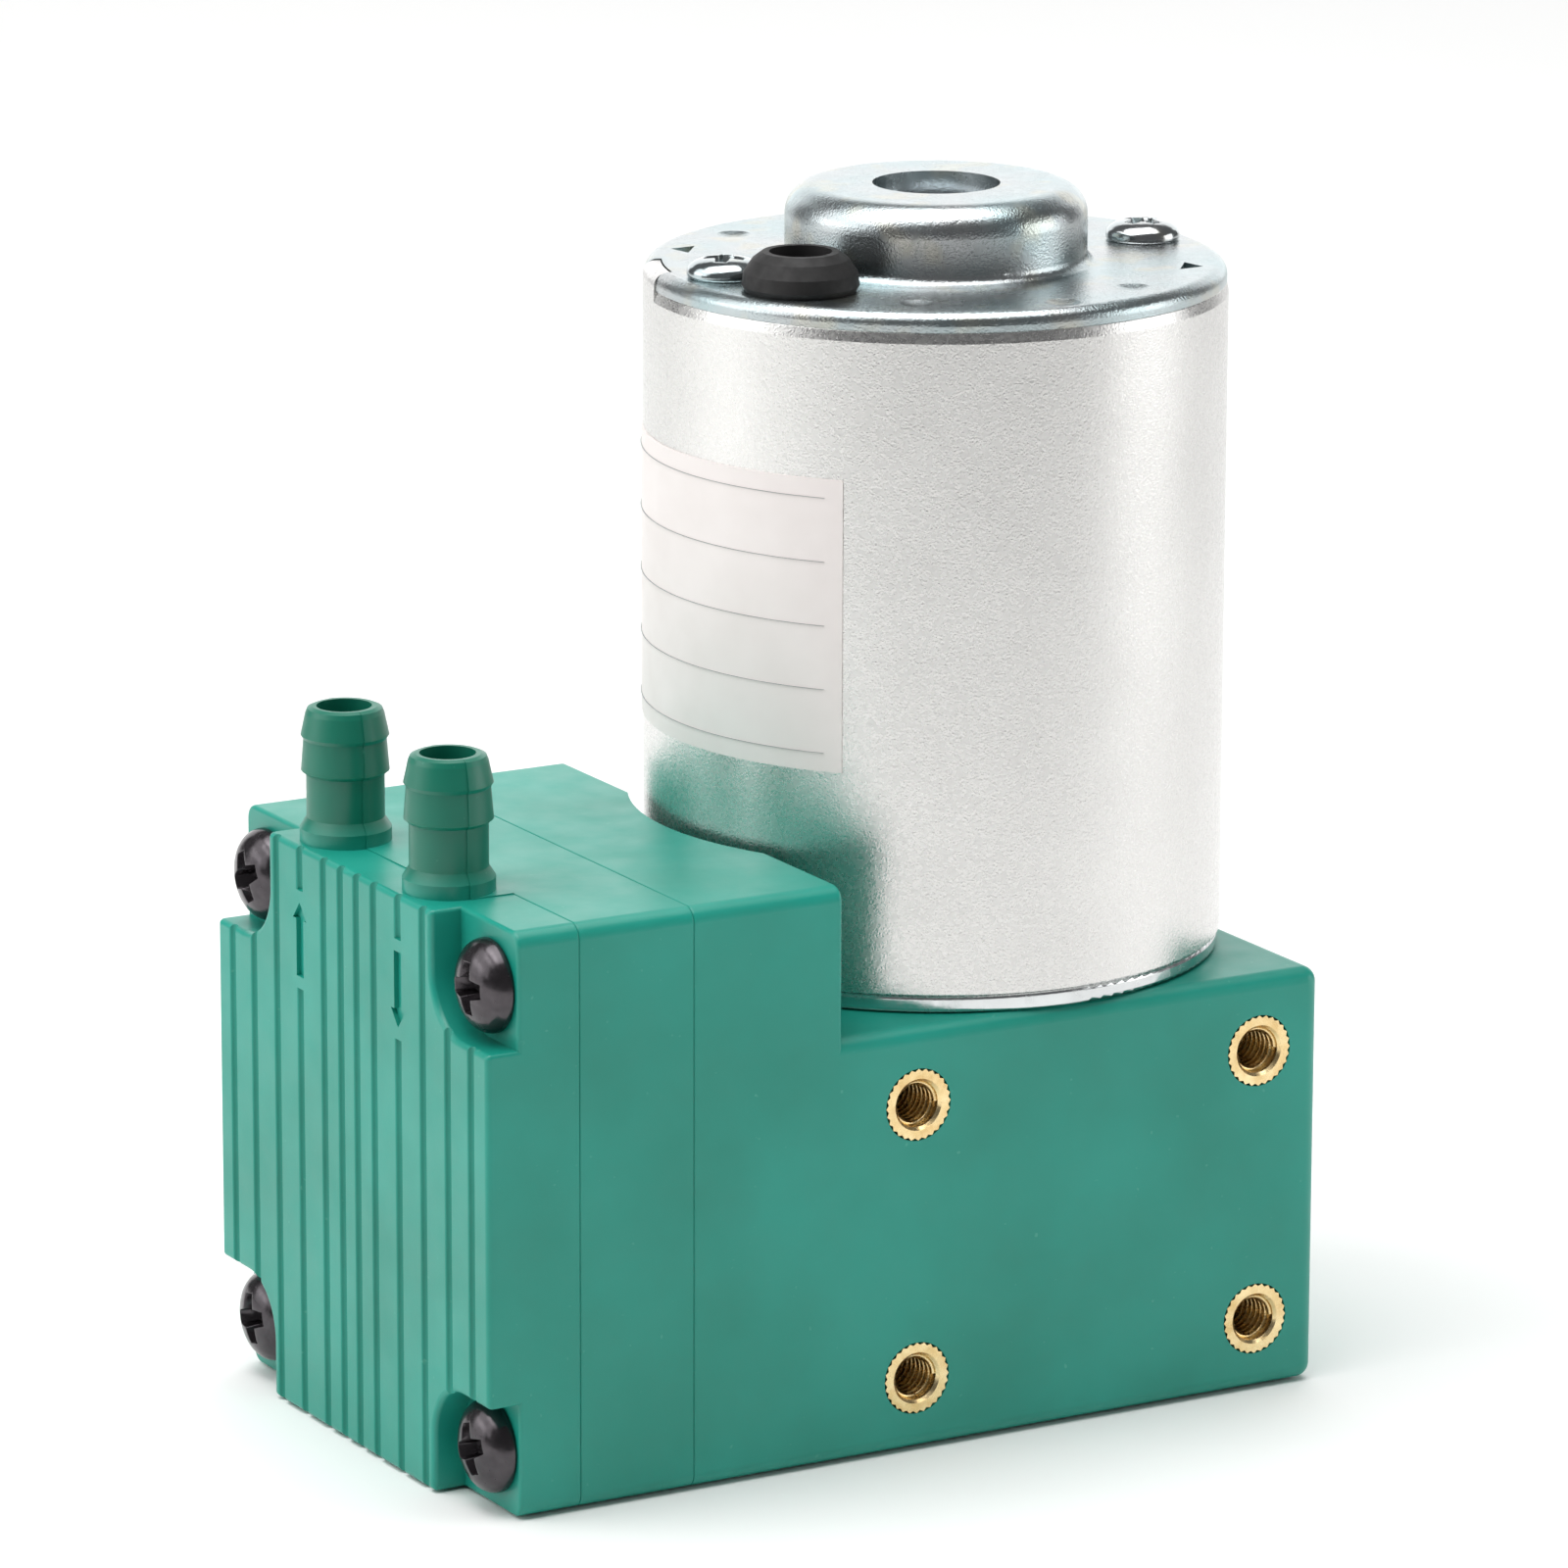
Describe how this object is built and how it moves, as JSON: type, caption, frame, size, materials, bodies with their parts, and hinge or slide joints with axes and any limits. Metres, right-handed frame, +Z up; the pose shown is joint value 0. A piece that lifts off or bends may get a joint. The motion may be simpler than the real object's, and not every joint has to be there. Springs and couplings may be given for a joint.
{
  "type": "diaphragm vacuum pump",
  "caption": "Small diaphragm vacuum pump: square grooved head with hose barbs on a moulded case, crank and rod inside, driven by an upright round brushed DC motor.",
  "frame": {"origin": "on the underside, where the motor axis meets it", "axes": "+Z up along the motor axis, -X out through the pump head, -Y out through the side with the threaded inserts"},
  "size_m": [0.0815, 0.0498, 0.1033],
  "materials": {
    "green_pc_plastic": "fine moulded texture, slightly glossy",
    "satin_nickel_steel": "satin electroplated",
    "zinc_plated_steel": "bright zinc with a bluish passivate",
    "black_oxide_steel": "black oxide, oiled",
    "turned_brass": "turned and knurled",
    "black_rubber": "moulded, matt",
    "epdm_rubber": "moulded, matt",
    "silver_label": "matt film",
    "die_cast_aluminium": "as cast, turned seats",
    "zinc_alloy": "turned",
    "bearing_steel": "ground",
    "cage_steel": "pressed",
    "ground_shaft_steel": "ground",
    "lamination_steel": "stacked sheet",
    "copper_winding": "enamelled wire",
    "commutator_copper": "turned copper",
    "ferrite": "pressed and sintered",
    "phenolic_board": "pressed laminate",
    "carbon": "pressed graphite",
    "spring_steel": "drawn wire"
  },
  "bodies": {
    "housing": {"head_cover": "green_pc_plastic", "head_screws": "black_oxide_steel", "valve_sheet": "epdm_rubber", "valve_plate": "green_pc_plastic", "diaphragm": "epdm_rubber", "pump_case": "green_pc_plastic", "thread_inserts": "turned_brass", "bottom_cover": "green_pc_plastic", "bottom_cover_screws": "zinc_plated_steel", "motor_mount_screws": "zinc_plated_steel", "front_bell": "die_cast_aluminium", "motor_can": "satin_nickel_steel", "end_cap": "zinc_plated_steel", "end_cap_screws": "zinc_plated_steel", "lead_grommet": "black_rubber", "rating_label": "silver_label", "magnets": "ferrite", "brush_card": "phenolic_board", "brushes": "carbon", "brush_springs": "spring_steel", "front_bearing_outer": "bearing_steel", "rear_bearing_outer": "bearing_steel"},
    "rotor": {"motor_shaft": "ground_shaft_steel", "rotor_core": "lamination_steel", "rotor_windings": "copper_winding", "commutator": "commutator_copper", "eccentric": "zinc_alloy", "eccentric_set_screw": "black_oxide_steel", "front_bearing_inner": "bearing_steel", "rear_bearing_inner": "bearing_steel", "rod_bearing_inner": "bearing_steel"},
    "rod": {"connecting_rod": "die_cast_aluminium", "support_disc": "die_cast_aluminium", "clamp_disc": "die_cast_aluminium", "clamp_screw": "zinc_plated_steel", "rod_bearing_outer": "bearing_steel"},
    "front_cage": {"front_bearing_cage": "cage_steel", "front_bearing_balls": "bearing_steel"},
    "rear_cage": {"rear_bearing_cage": "cage_steel", "rear_bearing_balls": "bearing_steel"},
    "rod_cage": {"rod_bearing_cage": "cage_steel", "rod_bearing_balls": "bearing_steel"},
    "inlet_flap_body": {"inlet_flap": "epdm_rubber"},
    "outlet_flap_body": {"outlet_flap": "epdm_rubber"}
  },
  "joints": [
    {"name": "crank_spin", "type": "hinge", "parent": "housing", "child": "rotor", "pos_m": [0, 0, 0.02505], "axis": [0, 0, 1], "continuous": true},
    {"name": "rod_swing", "type": "hinge", "parent": "rotor", "child": "rod", "pos_m": [-0.002, 0, 0.02505], "axis": [0, 0, 1], "continuous": true, "deforming": ["diaphragm"]},
    {"name": "front_cage_spin", "type": "hinge", "parent": "housing", "child": "front_cage", "pos_m": [0, 0, 0.0387], "axis": [0, 0, 1], "continuous": true},
    {"name": "rear_cage_spin", "type": "hinge", "parent": "housing", "child": "rear_cage", "pos_m": [0, 0, 0.0982], "axis": [0, 0, 1], "continuous": true},
    {"name": "rod_cage_spin", "type": "hinge", "parent": "rotor", "child": "rod_cage", "pos_m": [-0.002, 0, 0.02505], "axis": [0, 0, 1], "continuous": true},
    {"name": "inlet_flap_swing", "type": "hinge", "parent": "housing", "child": "inlet_flap_body", "pos_m": [-0.0475, -0.0094, 0.03405], "axis": [0, -1, 0], "range_deg": [0, 9], "stiffness_Nm_per_rad": 0.001},
    {"name": "outlet_flap_swing", "type": "hinge", "parent": "housing", "child": "outlet_flap_body", "pos_m": [-0.0475, 0.0094, 0.03405], "axis": [0, 1, 0], "range_deg": [0, 9], "stiffness_Nm_per_rad": 0.001}
  ],
  "couplings": [
    {"joint": "rod_swing", "follows": "crank_spin", "ratio": -1},
    {"joint": "front_cage_spin", "follows": "crank_spin", "ratio": 0.36818},
    {"joint": "rear_cage_spin", "follows": "crank_spin", "ratio": 0.36818},
    {"joint": "rod_cage_spin", "follows": "crank_spin", "ratio": -0.56154}
  ]
}
